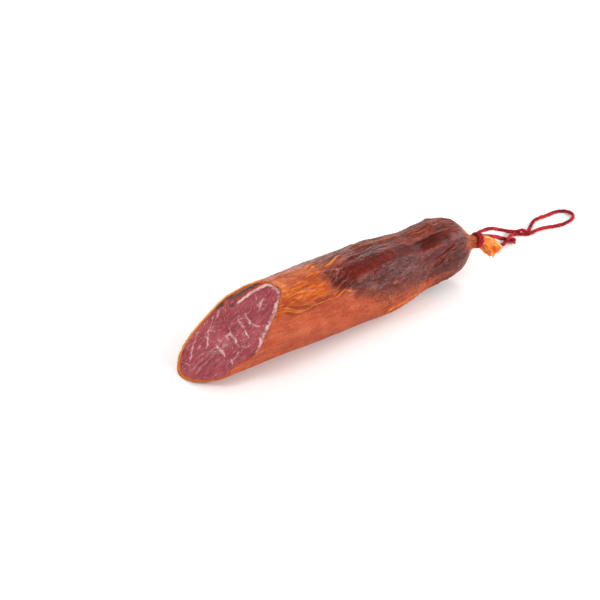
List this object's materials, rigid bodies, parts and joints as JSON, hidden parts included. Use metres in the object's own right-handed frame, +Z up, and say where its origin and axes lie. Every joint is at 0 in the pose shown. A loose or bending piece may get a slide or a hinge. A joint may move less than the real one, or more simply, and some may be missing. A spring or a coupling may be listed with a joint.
{
  "type": "cured pork loin",
  "caption": "Half a cured pork loin in its gut casing, cut on the bias at one end and tied with red twine at the other.",
  "frame": {"origin": "on the floor, under the middle of the casing's bounding box", "axes": "+X along the loin from the cut end to the tied end, +Z up, +Y to the left seen from the cut end"},
  "size_m": [0.4099, 0.0648, 0.0557],
  "materials": {
    "lean_meat": "moist cut cured lean meat, satin",
    "gut_casing": "greasy dried gut with a paprika crust, half gloss",
    "red_twine": "soft twisted cotton, matt"
  },
  "bodies": {
    "root": {"cured_loin": "lean_meat", "casing": "gut_casing", "neck_tie": "red_twine", "hanging_loop": "red_twine", "lower_strand": "red_twine", "strand_knot": "red_twine"}
  },
  "joints": []
}
